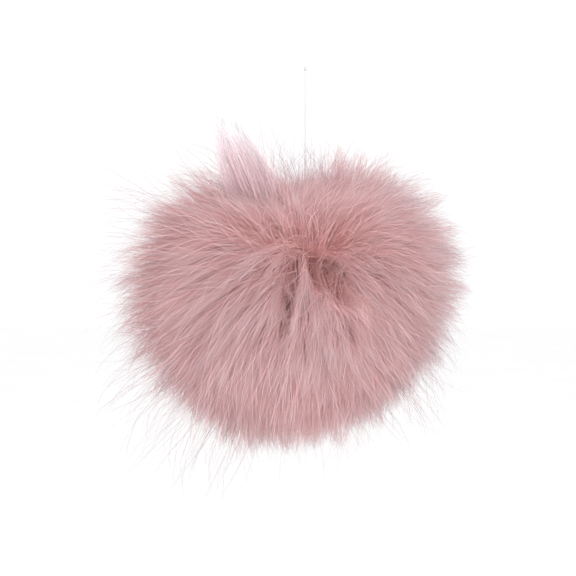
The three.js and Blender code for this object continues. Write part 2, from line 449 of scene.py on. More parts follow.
def hair_mesh(name, lines, widths, tones, up, square=0.5, roundness=0.3):
    """lines is hairs x steps x 3, widths and tones are hairs x steps, without the tip in widths.

    up is how far up its hair each step lies, from 0 at the root to 1 at the tip, square is how nearly
    its normals stand square to the hair, and roundness how much they go round it.
    """
    count, steps, _ = lines.shape
    rings = steps - 1
    ahead = unit(np.diff(lines, axis=1))
    along = np.concatenate([ahead[:, :1], unit(ahead[:, 1:] + ahead[:, :-1])], axis=1)
    across = np.cross(unit(lines[:, 0] - ball_middle), rng.normal(size=(count, 3)))
    side = unit(np.cross(along, unit(across)[:, None, :]))
    other = np.cross(along, side)
    turn = 2 * math.pi * np.arange(SIDES) / SIDES
    ring = side[:, :, None, :] * np.cos(turn)[:, None] + other[:, :, None, :] * np.sin(turn)[:, None]
    corners = lines[:, :-1, None, :] + ring * (widths / 2)[:, :, None, None]
    points = np.concatenate([corners.reshape(count, rings * SIDES, 3), lines[:, -1:]], axis=1)

    quads, strips = [], []
    for low in range(rings - 1):
        for corner in range(SIDES):
            after = (corner + 1) % SIDES
            first, second = low * SIDES, (low + 1) * SIDES
            quads.append([first + corner, first + after, second + after, second + corner])
            strips.append([(corner, low), (corner + 1, low), (corner + 1, low + 1), (corner, low + 1)])
    last, tip = (rings - 1) * SIDES, rings * SIDES
    ends = [[last + corner, last + (corner + 1) % SIDES, tip] for corner in range(SIDES)]
    end_strips = [[(edge, rings - 1), (edge + 1, rings - 1), (edge + 0.5, rings)] for edge in range(SIDES)]
    # One more triangle closes the foot.
    ends.append([2, 1, 0])
    end_strips.append([(2, 0), (1, 0), (0, 0)])

    first_point = np.arange(count)[:, None] * (tip + 1)
    quad_loops = (first_point + np.array(quads).ravel()).ravel()
    end_loops = (first_point + np.array(ends).ravel()).ravel()
    strips_across = np.floor(np.clip(tones, 0, 0.999) * TONES) + STRIP_MARGIN

    def placed(pattern):
        pattern = np.array(pattern, float).reshape(-1, 2)
        here = pattern[:, 1].astype(int)
        u = (strips_across[:, here] + pattern[:, 0] * STRIP_WIDTH / SIDES) / TONES
        v = np.broadcast_to(up[here], u.shape)
        return np.stack([u, v], axis=2).reshape(-1, 2)

    loops = np.concatenate([quad_loops, end_loops]).astype(np.int32)
    uv = np.concatenate([placed(strips), placed(end_strips)]).astype(np.float32)
    quad_count, end_count = len(quad_loops) // 4, len(end_loops) // 3
    starts = np.concatenate([np.arange(quad_count) * 4, quad_count * 4 + np.arange(end_count) * 3])

    mesh = bpy.data.meshes.new(name)
    mesh.vertices.add(points.shape[0] * points.shape[1])
    mesh.vertices.foreach_set("co", points.astype(np.float32).ravel())
    mesh.loops.add(len(loops))
    mesh.loops.foreach_set("vertex_index", loops)
    mesh.polygons.add(len(starts))
    mesh.polygons.foreach_set("loop_start", starts.astype(np.int32))
    mesh.update(calc_edges=True)
    layer = mesh.uv_layers.new(name=HAIR_MAP)
    layer.uv.foreach_set("vector", uv.ravel())
    mesh.shade_smooth()
    round_part = np.concatenate([ring.reshape(count, rings * SIDES, 3), side[:, -1:]], axis=1)
    hair_way = np.concatenate([np.repeat(along, SIDES, axis=1), along[:, -1:]], axis=1)
    outward = unit(points - ball_middle)
    outward -= square * hair_way * np.sum(outward * hair_way, axis=2, keepdims=True)
    normals = unit(roundness * round_part + outward)
    mesh.normals_split_custom_set_from_vertices(normals.reshape(-1, 3).astype(np.float32))
    return add_object(name, mesh)


def triangles(piece):
    mesh = piece.data
    return len(mesh.loops) - 2 * len(mesh.polygons)


print("a hair of three rings has", 2 * SIDES * 2 + SIDES + 1, "triangles")

# %% [markdown]
# ## Wisps
# Long pile hangs together in wisps of some two dozen hairs. Each wisp gets a path of its own, and each of
# its hairs follows that path a little to one side, a little shorter, and a little paler or darker. The
# wisps' tips cover the outside evenly, but none ends on the front parting.

# %% Wisps
WISPS = 2700
HAIRS_IN_WISP = 24
HAIR_WIDTH = 0.12 * MM
ROOT_DEPTH = 1.0 * MM
TIP_SCATTER = 0.03
ROOT_SCATTER = 0.04
REACH_SCATTER = 0.04
PARTING_OPEN = 0.16
OPEN_SPREAD = 0.22
front_parting = [unit(np.array(PARTINGS[0][end])) for end in ("from", "to")]


def near_front_parting(direction, spread):
    """How near each direction is to the front parting: 1 on it, and falling off over spread."""
    far = np.linalg.norm(from_line(direction, *front_parting), axis=1)
    return np.exp(-((far / spread) ** 2))


def off_parting(tip):
    """Moves tips away from the front parting, because no hair ends on a parting."""
    away = from_line(tip, *front_parting)
    far = np.linalg.norm(away, axis=1, keepdims=True)
    moved = away / (far + 0.01) * PARTING_OPEN * near_front_parting(tip, OPEN_SPREAD)[:, None]
    return unit(tip + moved)


def wisp_paths(count):
    """Each wisp's root, tip, reach, and how much it belongs to a tuft."""
    tip = off_parting(scattered(spiral(count), TIP_SCATTER))
    root = scattered(root_of(tip), ROOT_SCATTER)
    reach = pile_reach(tip) * (1 + rng.normal(size=count) * REACH_SCATTER)
    return root, *tufted(tip, reach)


# %% [markdown]
# ## The path of a hair
# A hair stands up out of the backing, bends over a knee, and runs along the surface to its tip. At the
# front parting it bends later, because the hairs on both sides hold it up. A smooth curve drawn by four
# points gives that path, with no need of combing by hand. Knee and shoulder are shares of the way out.

# %% The path of a hair
KNEE = 0.55
KNEE_AT_PARTING = 0.8
SHOULDER = 0.88
SHOULDER_HIGHER_AT_PARTING = 0.10
UPRIGHT_SPREAD = 0.45


def hair_lines(root, tip, reach, steps, sink=1.0, rise=KNEE):
    """The curved path of each hair, out of the backing, over a knee, and along the surface to its tip."""
    start = root * (BALL_RADIUS - ROOT_DEPTH)
    start[:, 2] *= BALL_HALF_HEIGHT / BALL_RADIUS
    out = (reach - BALL_RADIUS)[:, None]
    upright = near_front_parting(tip, UPRIGHT_SPREAD)[:, None]
    knee = root * (BALL_RADIUS + (rise + (KNEE_AT_PARTING - rise) * upright) * out)
    shoulder_height = SHOULDER + SHOULDER_HIGHER_AT_PARTING * upright
    shoulder = unit(root * 0.5 + tip * 0.5) * (BALL_RADIUS + shoulder_height * out)
    end = tip * reach[:, None]
    return parted(bezier((start, knee, shoulder, end), steps) + ball_middle, sink)


root, tip, reach, belongs = wisp_paths(WISPS)
print("wisps:", WISPS, "middling reach, mm:", round(np.median(reach) / MM, 1))

# %% [markdown]
# ## Each wisp and each of its hairs
# Wisps differ in tone, in how tightly their tips draw together, and in how they wave. Some are pointed:
# tight, a little longer and a little paler. Towards the rim the hairs are painted paler, as painted light
# for the light that comes through them, and more so on the right side.

# %% Hairs in wisps
MIDDLE_TONE = 0.45
TONE_OF_WISP = 0.05
TONE_OF_HAIR = 0.04
TONE_OF_TUFT = 0.22
PALE_WISPS = {"share": 0.1, "paler": 0.15}
TIGHTNESS = (0.5, 1.0)
TIGHTER_AT_PARTING = {"by": 0.6, "spread": 0.5}
# longer is in mm, and the others are shares and tones.
POINTED_WISPS = {"share": 0.14, "tightness": 0.2, "longer": 1.5, "paler": 0.06}
WISP_WAVE_MM = 0.5
HAIR_WAVE_MM = 0.3
ROOT_OFF = 0.07
TIP_OFF = 0.10
TIP_WITH_ROOT = 0.25
SHORTER = 0.11
SHORTEST = 10 * MM
THICKNESS = (0.7, 1.1)
RIM_WIDTH = 0.5
RIM_PAINTED_LIGHT = 0.08
RIM_PAINTED_LIGHT_RIGHT = 0.14


def trimmed(reach, amount, longest=1):
    """The same reaches, each a little shorter at random than its longest share."""
    return reach * (longest - np.abs(rng.normal(size=len(reach))) * amount)


wisp_tone = rng.normal(MIDDLE_TONE, TONE_OF_WISP, WISPS)
wisp_tone += PALE_WISPS["paler"] * (rng.uniform(size=WISPS) < PALE_WISPS["share"])
wisp_tone += TONE_OF_TUFT * belongs
near = near_front_parting(tip, TIGHTER_AT_PARTING["spread"])
tightness = rng.uniform(*TIGHTNESS, WISPS) * (1 - TIGHTER_AT_PARTING["by"] * near)
pointed = rng.uniform(size=WISPS) < POINTED_WISPS["share"]
tightness[pointed] = POINTED_WISPS["tightness"]
reach[pointed] += POINTED_WISPS["longer"] * MM
wisp_tone[pointed] += POINTED_WISPS["paler"]
wisp_wave = rng.normal(size=(WISPS, 3)) * WISP_WAVE_MM * MM
pick = np.repeat(np.arange(WISPS), HAIRS_IN_WISP)
hairs = len(pick)
root_off = rng.normal(size=(hairs, 3)) * ROOT_OFF
tip_off = rng.normal(size=(hairs, 3)) * (TIP_OFF * tightness * (1 - 0.5 * belongs))[pick][:, None]
hair_root = unit(root[pick] + root_off)
hair_tip = unit(tip[pick] + tip_off + root_off * TIP_WITH_ROOT)
hair_reach = np.maximum(trimmed(reach[pick], SHORTER), BALL_RADIUS + SHORTEST)
hair_wave = wisp_wave[pick] + rng.normal(size=(hairs, 3)) * HAIR_WAVE_MM * MM
hair_width = HAIR_WIDTH * rng.uniform(*THICKNESS, hairs)
hair_tone = wisp_tone[pick] + rng.normal(size=hairs) * TONE_OF_HAIR
rim = np.clip(1 - np.abs(hair_tip[:, 1]) / RIM_WIDTH, 0, 1)
# Painted light: paler towards the rim, and more on the right side.
hair_tone += rim * (RIM_PAINTED_LIGHT + RIM_PAINTED_LIGHT_RIGHT * hair_tip[:, 0])
print("hairs in wisps:", hairs)

# %% [markdown]
# ## Pile, side by side
# Hairs that run along a gap are made whole and with many rings, so that they can bend into it. Elsewhere
# only a hair's outer part shows above the down, and two rings are enough. Each side is a mesh of its own
# so that it stays a handy size.

# %% Pile pieces
MIDDLE_STEPS = np.array([0, 0.25, 0.42, 0.56, 0.7, 0.85, 1.0])
MIDDLE_TAPER = np.array([0.85, 0.95, 1.0, 1.0, 0.95, 0.75])
HAIR_STEPS = np.array([0.4, 0.72, 1.0])
HAIR_TAPER = np.array([1.0, 0.8])
LEAST_FELT = 0.03
# Each is how much darker the pile is at the front parting, and how far away that is still seen.
PARTING_SHADES = ((0.06, 0.60), (0.08, 0.22))
# Each is where a side of the pile starts, in degrees from +X round to +Y.
PILE_SIDES = {"front_right": 300, "back_right": 10, "back_left": 100, "front_left": 190, "end": 300}


def make_pile(name, mine, steps, taper):
    lines = hair_lines(hair_root[mine], hair_tip[mine], hair_reach[mine], steps)
    shade = gap_shade(lines)
    lines += hair_wave[mine][:, None, :] * np.sin(math.pi * 2 * steps)[None, :, None]
    widths = hair_width[mine][:, None] * taper[None, :]
    tones = hair_tone[mine][:, None] - shade
    direction = unit(lines - ball_middle).reshape(-1, 3)
    for darker, spread in PARTING_SHADES:
        tones -= darker * near_front_parting(direction, spread).reshape(tones.shape)
    piece = hair_mesh(name, lines, widths, tones, steps)
    print(name, "hairs:", mine.sum(), "triangles:", triangles(piece))
    return piece


felt = gap_shade(hair_lines(hair_root, hair_tip, hair_reach, MIDDLE_STEPS)).max(axis=1)
in_middle = felt > LEAST_FELT
pile = [make_pile("pile_middle", in_middle, MIDDLE_STEPS, MIDDLE_TAPER)]
azimuth = np.degrees(np.arctan2(hair_tip[:, 1], hair_tip[:, 0])) % 360
names, starts = list(PILE_SIDES), list(PILE_SIDES.values())
for name, start, end in zip(names, starts, starts[1:]):
    mine = ~in_middle & ((azimuth - start) % 360 < (end - start) % 360)
    pile.append(make_pile("pile_" + name, mine, HAIR_STEPS, HAIR_TAPER))

# %% [markdown]
# ## Loose hairs
# Some long guard hairs have worked out of the wisps and stand past the dense pile, far apart and very
# fine. They are greyer at the rim than in front, where the pile behind them shines through. They are the
# same hairs, thinner and with more steps. The last of them fill the dip beside the thread.

# %% Loose hairs
LOOSE_HAIRS = 2600
LOOSE_STEPS = np.array([0, 0.4, 0.68, 0.86, 1.0])
LOOSE_TAPER = np.array([1, 1, 0.9, 0.7])
LOOSE_WIDTH = 0.11 * MM
LOOSE_THICKNESS = (0.7, 1.2)
LOOSE_TIP_SCATTER = 0.11
LOOSE_ROOT_SCATTER = 0.12
# Shares of the way from the dense pile to the longest loose hairs.
LOOSE_LEAST = 0.2
LOOSE_RANGE = 1.05
LOOSE_WAVE_MM = 0.8
RIM_TONE = (0.25, 0.12)
FRONT_TONE = 0.66
LESS_RIM_TONE_IN_FRONT = 0.6
# How far a hair faces the front or the back, from 0 to 1 over this range of its direction's depth.
FACING_FROM = 0.35
FACING_RANGE = 0.3
# angle and turn are in degrees and reach is in mm.
DIP = {"hairs": 110, "angle": (84, 109), "turn": (-3, 8), "scatter": 0.2, "reach": (49, 60)}


def varied_widths(width, thickness, taper, count):
    """The width of each hair at each of its steps, between two shares of a middling width."""
    return width * rng.uniform(*thickness, count)[:, None] * taper[None, :]


def make_loose_hairs():
    tip = scattered(spiral(LOOSE_HAIRS), LOOSE_TIP_SCATTER)
    root = scattered(root_of(tip), LOOSE_ROOT_SCATTER)
    longer = rng.uniform(size=LOOSE_HAIRS) ** 1.2
    reach = pile_reach(tip) * (1 + (loose_share(tip) - 1) * (LOOSE_LEAST + LOOSE_RANGE * longer))
    tip, reach, _ = tufted(tip, reach)
    dip = slice(-DIP["hairs"], None)
    dip_angle = rng.uniform(*DIP["angle"], DIP["hairs"])
    dip_turn = rng.normal(*DIP["turn"], DIP["hairs"])
    tip[dip] = [outline_direction(*pair) for pair in zip(dip_angle, dip_turn)]
    root[dip] = scattered(tip[dip], DIP["scatter"])
    reach[dip] = rng.uniform(*DIP["reach"], DIP["hairs"]) * MM
    lines = hair_lines(root, tip, reach, LOOSE_STEPS)
    wave = rng.normal(size=(LOOSE_HAIRS, 3)) * LOOSE_WAVE_MM * MM
    lines += wave[:, None, :] * (np.sin(math.pi * 1.5 * LOOSE_STEPS) * LOOSE_STEPS)[None, :, None]
    widths = varied_widths(LOOSE_WIDTH, LOOSE_THICKNESS, LOOSE_TAPER, LOOSE_HAIRS)
    facing = np.clip((np.abs(tip[:, 1]) - FACING_FROM) / FACING_RANGE, 0, 1)
    tones = rng.normal(*RIM_TONE, LOOSE_HAIRS) * (1 - LESS_RIM_TONE_IN_FRONT * facing)
    tones += FRONT_TONE * facing
    tones = np.repeat(tones[:, None], len(LOOSE_STEPS), 1)
    return hair_mesh("loose_hairs", lines, widths, tones, LOOSE_STEPS, square=0.8, roundness=1.0)


loose_hairs = make_loose_hairs()
print("loose hairs, triangles:", triangles(loose_hairs))

# %% [markdown]
# ## Where the front strands run
# From the front parting, longer strands fall over the pile and across its gaps, and some lie upwards.
# Most falling ones come from one head, a share of them is fanned out over the parting to its right, and
# the rising ones come from all of it. So each way has its own ranges, and every strand is drawn in them.

# %% Strand ends
STRANDS = 125
RISING_STRANDS = 60
# Places along the parting are shares of its length, turns are radians, and a fall is how far a tip goes
# from its root.
STRAND_HEAD = 0.36
HEAD_SCATTER = 0.12
STRAND_ROOT_SCATTER = 0.05
HEAD_TURN = (-1.2, 0.2)
FANNED_SHARE = 0.4
FANNED_ALONG = (0.4, 1.05)
FAN = 2
FAN_SCATTER = 0.3
FALL = (0.45, 1.05)
RISING_ALONG = (-0.3, 1.2)
RISING_FAN = 1.6
RISING_FAN_SCATTER = 0.2
RISING_FALL = (0.3, 0.75)
ROOTS_UP = 0.13
ROOTS_APART = 0.02
ROUND_TO_BACK = 0.25


def strand_ends(count, way):
    """Roots along the front parting and tips below it, or above it where way is 1."""
    fanned = rng.uniform(size=count) < FANNED_SHARE
    fanned_share = rng.uniform(*FANNED_ALONG, count)
    share = np.where(fanned, fanned_share, rng.normal(STRAND_HEAD, HEAD_SCATTER, count))
    fanned_turn = (share - STRAND_HEAD) * FAN + rng.normal(0, FAN_SCATTER, count)
    turn = np.where(fanned, fanned_turn, rng.uniform(*HEAD_TURN, count))
    fall = rng.uniform(*FALL, count)
    if way > 0:
        # Rising strands are drawn anew, and come from the whole length of the parting.
        share = rng.uniform(*RISING_ALONG, count)
        turn = (share - 0.5) * RISING_FAN + rng.normal(0, RISING_FAN_SCATTER, count)
        fall = rng.uniform(*RISING_FALL, count)
    start, end = np.array(PARTINGS[0]["from"]), np.array(PARTINGS[0]["to"])
    root = start + (end - start) * share[:, None] + np.array([0, 0, ROOTS_UP + ROOTS_APART * way])
    root = scattered(root, STRAND_ROOT_SCATTER)
    over = [np.sin(turn) * fall, ROUND_TO_BACK * fall, way * np.cos(turn) * fall]
    return root, unit(root + np.stack(over, axis=1))


falling, rising = strand_ends(STRANDS, -1), strand_ends(RISING_STRANDS, 1)
print("strands that fall and rise:", len(falling[0]), len(rising[0]))

# %% [markdown]
# ## Strands over the front
# The front strands are the easiest to follow with the eye, so they are a piece of their own, combed
# further than the pile. They rise higher off the backing before they turn, so that they cover the
# parting, and they sink less into the gaps that they cross.

# %% Front strands
HAIRS_IN_STRAND = 26
STRAND_LIFT = 0.6 * MM
STRAND_WIDTH = 0.12 * MM
STRAND_THICKNESS = (0.7, 1.0)
STRAND_STEPS = np.array([0, 0.32, 0.58, 0.8, 1.0])
STRAND_TAPER = np.array([0.85, 1, 1, 0.75])
STRAND_RISE = 0.72
STRAND_SINK = 0.45
STRAND_SHADE = 0.5
STRAND_REACH_SCATTER = 0.02
STRAND_TIGHTNESS = (0.012, 0.045)
STRAND_SHORTER = 0.04
STRAND_TONE = (0.46, 0.05)


def make_strands():
    root, tip = (np.concatenate(both) for both in zip(falling, rising))
    count = len(root)
    reach = pile_reach(tip) * (1 + rng.normal(size=count) * STRAND_REACH_SCATTER) + STRAND_LIFT
    pick = np.repeat(np.arange(count), HAIRS_IN_STRAND)
    hairs = len(pick)
    tight = rng.uniform(*STRAND_TIGHTNESS, count)[pick][:, None]
    hair_root = scattered(root[pick], ROOT_SCATTER)
    hair_tip = scattered(tip[pick], tight)
    hair_reach = trimmed(reach[pick], STRAND_SHORTER)
    lines = hair_lines(hair_root, hair_tip, hair_reach, STRAND_STEPS, STRAND_SINK, STRAND_RISE)
    widths = varied_widths(STRAND_WIDTH, STRAND_THICKNESS, STRAND_TAPER, hairs)
    tones = rng.normal(*STRAND_TONE, count)[pick] + rng.normal(size=hairs) * TONE_OF_HAIR
    tones = tones[:, None] - STRAND_SHADE * gap_shade(lines)
    return hair_mesh("front_strands", lines, widths, tones, STRAND_STEPS)


strands = make_strands()
print("front strands, triangles:", triangles(strands))

# %% [markdown]
# ## The tall tuft
# One broad lock stands up beside the thread, well above the round shape. It is nearly all tips, and it is
# painted paler than the rest, as painted light for the light that comes through its thin hairs. Its hairs
# rise from a patch on the backing and end along a slanting edge.

# %% Tall tuft
TUFT_HAIRS_IN_LOCK = 48
TUFT_STEPS = np.array([0, 0.35, 0.6, 0.82, 1.0])
TUFT_TAPER = np.array([0.85, 1.0, 1.0, 0.75])
TUFT_WIDTH = 0.13 * MM
# Each lock's tip is an angle in the outline and a reach in mm. All are turned towards the viewer.
TUFT_LOCKS = [
    (122, 61), (119.5, 66), (118, 71), (116.2, 76), (114.8, 80), (113.5, 77), (112, 70),
    (111.2, 74), (109.5, 70.5), (108.5, 65), (107.9, 69), (107.6, 60), (106.8, 55.5),
]
# Both ends of the patch in the backing, as an angle in the outline and a turn, in degrees.
TUFT_FEET = [(127.0, -24), (106.0, -32)]
TUFT_TURN = -15
# How far apart the hairs of a lock end, in degrees in the outline and out of it.
TUFT_ANGLE_OFF = 0.9
TUFT_TURN_OFF = 1.5
TUFT_ROOT_SCATTER = 0.08
TUFT_SHORTER = 0.07
# Painted light: the tuft's hairs take tones near the palest end of the ramp.
TUFT_PAINTED_LIGHT_TONE = (0.98, 0.04)


def make_tall_tuft():
    row = np.repeat(np.array(TUFT_LOCKS, float), TUFT_HAIRS_IN_LOCK, axis=0)
    hairs = len(row)
    angle = row[:, 0] + rng.normal(size=hairs) * TUFT_ANGLE_OFF
    turn = TUFT_TURN + rng.normal(size=hairs) * TUFT_TURN_OFF
    tip = np.array([outline_direction(*pair) for pair in zip(angle, turn)])
    share = (TUFT_LOCKS[0][0] - row[:, 0]) / (TUFT_LOCKS[0][0] - TUFT_LOCKS[-1][0])
    foot_angle = TUFT_FEET[0][0] + (TUFT_FEET[1][0] - TUFT_FEET[0][0]) * share
    foot_turn = TUFT_FEET[0][1] + (TUFT_FEET[1][1] - TUFT_FEET[0][1]) * share
    root = np.array([outline_direction(*pair) for pair in zip(foot_angle, foot_turn)])
    root = scattered(root, TUFT_ROOT_SCATTER)
    reach = trimmed(row[:, 1] * MM, TUFT_SHORTER)
    lines = hair_lines(root, tip, reach, TUFT_STEPS)
    widths = varied_widths(TUFT_WIDTH, THICKNESS, TUFT_TAPER, hairs)
    tones = np.repeat(rng.normal(*TUFT_PAINTED_LIGHT_TONE, (hairs, 1)), len(TUFT_STEPS), 1)
    return hair_mesh("tall_tuft", lines, widths, tones, TUFT_STEPS, square=1.0, roundness=2.0)


tall_tuft = make_tall_tuft()
print("tall tuft, triangles:", triangles(tall_tuft))

# %% [markdown]
# ## Pointed locks round the rim
# Fibres of long pile cling together at their ends, and where that happens at the rim it shows as a
# small point. Each row is one such lock, whose hairs start apart and meet near its tip.

# %% Pointed locks
LOCK_HAIRS = 50
LOCK_STEPS = np.array([0.3, 0.6, 0.82, 1.0])
LOCK_TAPER = np.array([1.0, 1.0, 0.75])
LOCK_WIDTH = 0.12 * MM
LOCK_TIP_SCATTER = 0.020
LOCK_ROOT_SCATTER = 0.12
LOCK_LONGEST = 1.02
LOCK_SHORTER = 0.05
LOCK_TONE = (0.56, 0.05)
LOCK_TONE_OF_HAIR = 0.05
# Painted light: locks on the right side are paler.
LOCK_PAINTED_LIGHT_RIGHT = 0.08
# Each is an angle in the outline, a reach in mm, and a turn towards the back in degrees.
POINTED_LOCKS = [
    (79, 60.5, -11), (74, 57, 9), (70.5, 60.5, -5), (65, 57, 14), (60, 60.5, -12), (55, 59, 4),
    (47, 62, -9), (37, 65, 6), (27, 63, -13), (15, 62, 10), (5, 60, -7), (354, 57, 13), (345, 54.5, -9),
    (335, 55, 5), (320, 51, -12), (311, 52, 10), (303, 52, -8), (291, 51, 14), (283, 53, -6),
    (274, 53.5, 8), (262, 54, -13), (250, 57, 4), (239, 59, -9), (228, 61, 12), (211, 64, -6),
    (199, 68, 9), (187, 69, -12), (176, 71, 5), (166, 71, -8), (156, 70, 13), (146, 68, -10),
    (137, 68, 4), (130, 65, -7),
]


def make_pointed_locks():
    row = np.array(POINTED_LOCKS, float)
    middle = np.array([outline_direction(angle, turn) for angle, _, turn in POINTED_LOCKS])
    pick = np.repeat(np.arange(len(row)), LOCK_HAIRS)
    hairs = len(pick)
    tip = scattered(middle[pick], LOCK_TIP_SCATTER)
    root = scattered(root_of(middle)[pick], LOCK_ROOT_SCATTER)
    reach = trimmed(row[pick, 1] * MM, LOCK_SHORTER, LOCK_LONGEST)
    lines = hair_lines(root, tip, reach, LOCK_STEPS)
    widths = varied_widths(LOCK_WIDTH, THICKNESS, LOCK_TAPER, hairs)
    tones = rng.normal(*LOCK_TONE, len(row))[pick] + rng.normal(size=hairs) * LOCK_TONE_OF_HAIR
    tones += LOCK_PAINTED_LIGHT_RIGHT * tip[:, 0]
    tones = np.repeat(tones[:, None], len(LOCK_STEPS), 1)
    return hair_mesh("pointed_locks", lines, widths, tones, LOCK_STEPS)


pointed_locks = make_pointed_locks()
print("pointed locks, triangles:", triangles(pointed_locks))

# %% [markdown]
# ## The short down
# Between the long hairs grows a dense short down, far too fine to model hair by hair. It is one lumpy
# closed body well under the pile's surface, with hollows under the gaps and the front parting, and its
# fibres are left to its material.

# %% Down
DOWN_SHARE = 0.78
DOWN_LUMP = 0.03
DOWN_LUMPS_CLOSER = 1.7
DOWN_DETAIL = 6
DOWN_LEAST = 2 * MM
PARTING_HOLLOW = 5 * MM
HOLLOW_SPREAD = 0.25


def make_down():
    shape = bmesh.new()
    bmesh.ops.create_icosphere(shape, subdivisions=DOWN_DETAIL, radius=1)
    direction = unit(np.array([vert.co[:] for vert in shape.verts]))
    wave = lumps(direction * DOWN_LUMPS_CLOSER)
    reach = pile_reach(direction) * (DOWN_SHARE + DOWN_LUMP * wave[:, 0])
    surface = direction * pile_reach(direction)[:, None]
    for gap, ends in zip(GAPS, GAP_ENDS):
        reach -= gap["deep"] * MM * gap_felt(surface, gap, ends, PUSHED_WIDER)
    reach -= PARTING_HOLLOW * near_front_parting(direction, HOLLOW_SPREAD)
    for vert, way, far in zip(shape.verts, direction, reach):
        vert.co = ball_middle + way * max(far, BALL_RADIUS + DOWN_LEAST)
    mesh = bpy.data.meshes.new("short_down")
    shape.to_mesh(mesh)
    shape.free()
    mesh.shade_smooth()
    return add_object("short_down", mesh)


down = make_down()
print("down triangles:", triangles(down))

# %% [markdown]
# ## Two effects that several finishes share
# An effect that more than one finish uses is a node group, built once. The first reads a hair's strip of
# the map: across is its tone, along runs from root to tip, and a little noise keeps hairs of one tone
# from being all alike. The second is fine grain, for fuzz, drawn thread and the floor.

# %% Shared effects
def new_group(name, inputs, outputs):
    group = bpy.data.node_groups.new(name, "ShaderNodeTree")
    for title, kind, value in inputs:
        socket = group.interface.new_socket(title, in_out="INPUT", socket_type=kind)
        if value is not None:
            socket.default_value = value
    for title, kind in outputs:
        group.interface.new_socket(title, in_out="OUTPUT", socket_type=kind)
    return group, group.nodes.new("NodeGroupInput"), group.nodes.new("NodeGroupOutput")


def math_node(tree, operation, first, second):
    """A Math node. Each of its two values is a number or another node's output."""
    node = tree.nodes.new("ShaderNodeMath")
    node.operation = operation
    for socket, value in zip(node.inputs, (first, second)):
        if isinstance(value, (int, float)):
            socket.default_value = value
        else:
            tree.links.new(value, socket)
    return node.outputs["Value"]


def make_hair_strip():
    inputs = [("Vector", "NodeSocketVector", None), ("Unevenness", "NodeSocketFloat", 0.2)]
    outputs = [("Tone", "NodeSocketFloat"), ("Along", "NodeSocketFloat")]
    group, given, result = new_group("hair_strip", inputs, outputs)
    split = group.nodes.new("ShaderNodeSeparateXYZ")
    group.links.new(given.outputs["Vector"], split.inputs["Vector"])
    stretch = group.nodes.new("ShaderNodeMapping")
    stretch.inputs["Scale"].default_value = (TONES, 5, 1)
    group.links.new(given.outputs["Vector"], stretch.inputs["Vector"])
    noise = group.nodes.new("ShaderNodeTexNoise")
    noise.inputs["Scale"].default_value = 1.0
    noise.inputs["Detail"].default_value = 2.0
    group.links.new(stretch.outputs["Vector"], noise.inputs["Vector"])
    middle = math_node(group, "SUBTRACT", noise.outputs["Fac"], 0.5)
    change = math_node(group, "MULTIPLY", middle, given.outputs["Unevenness"])
    tone = math_node(group, "ADD", split.outputs["X"], change)
    group.links.new(tone, result.inputs["Tone"])
    group.links.new(split.outputs["Y"], result.inputs["Along"])
    return group


def make_fine_grain():
    inputs = [
        ("Vector", "NodeSocketVector", None),
        ("Scale", "NodeSocketFloat", 1000.0),
        ("Softness", "NodeSocketFloat", 0.5),
    ]
    outputs = [("Mask", "NodeSocketFloat"), ("Height", "NodeSocketFloat")]
    group, given, result = new_group("fine_grain", inputs, outputs)
    broad = group.nodes.new("ShaderNodeTexNoise")
    fine = group.nodes.new("ShaderNodeTexNoise")
    broad.inputs["Detail"].default_value = 2.0
    fine.inputs["Detail"].default_value = 4.0
    for noise in (broad, fine):
        group.links.new(given.outputs["Vector"], noise.inputs["Vector"])
        group.links.new(given.outputs["Softness"], noise.inputs["Roughness"])
    group.links.new(math_node(group, "MULTIPLY", given.outputs["Scale"], 0.2), broad.inputs["Scale"])
    group.links.new(given.outputs["Scale"], fine.inputs["Scale"])
    both = math_node(group, "ADD", broad.outputs["Fac"], fine.outputs["Fac"])
    group.links.new(math_node(group, "MULTIPLY", both, 0.5), result.inputs["Mask"])
    group.links.new(fine.outputs["Fac"], result.inputs["Height"])
    return group


hair_strip = make_hair_strip()
fine_grain = make_fine_grain()
print("groups:", hair_strip.name, fine_grain.name)

# %% [markdown]
# ## The colour of the pile
# Acrylic pile is dyed in the fibre, so hairs differ a little in tone. Each hair is also painted deeper in
# colour near the root, as painted shade deep in the pile, and it fades to a silvery pink at the tip, as
# painted light through the thin tips. The map carries both, so the material needs no more than two colour
# ramps. Some light goes right through such thin fibre, which the subsurface part gives.

# %% Pile colour
def new_material(name):
    material = bpy.data.materials.new(name)
    material.use_nodes = True
    tree = material.node_tree
    return material, tree, tree.nodes["Principled BSDF"]


def set_inputs(node, values):
    for title, value in values.items():
        node.inputs[title].default_value = value


def place_group(tree, group, vector, **values):
    node = tree.nodes.new("ShaderNodeGroup")
    node.node_tree = group
    tree.links.new(vector, node.inputs["Vector"])
    set_inputs(node, values)
    return node


def ramp(tree, value, stops):
    """A colour ramp from rows of place and colour."""
    node = tree.nodes.new("ShaderNodeValToRGB")
    elements = node.color_ramp.elements
    first, *between, last = stops
    elements[0].position, elements[0].color = first[0], (*first[1], 1)
    elements[1].position, elements[1].color = last[0], (*last[1], 1)
    for place, colour in between:
        elements.new(place).color = (*colour, 1)
    tree.links.new(value, node.inputs["Fac"])
    return node.outputs["Color"]


def mixed(tree, blend, first, second):
    node = tree.nodes.new("ShaderNodeMix")
    node.data_type = "RGBA"
    node.blend_type = blend
    node.inputs["Factor"].default_value = 1
    tree.links.new(first, node.inputs["A"])
    tree.links.new(second, node.inputs["B"])
    return node.outputs["Result"]


def add_bump(tree, shader, height, strength, distance):
    bump = tree.nodes.new("ShaderNodeBump")
    set_inputs(bump, {"Strength": strength, "Distance": distance})
    tree.links.new(height, bump.inputs["Height"])
    tree.links.new(bump.outputs["Normal"], shader.inputs["Normal"])


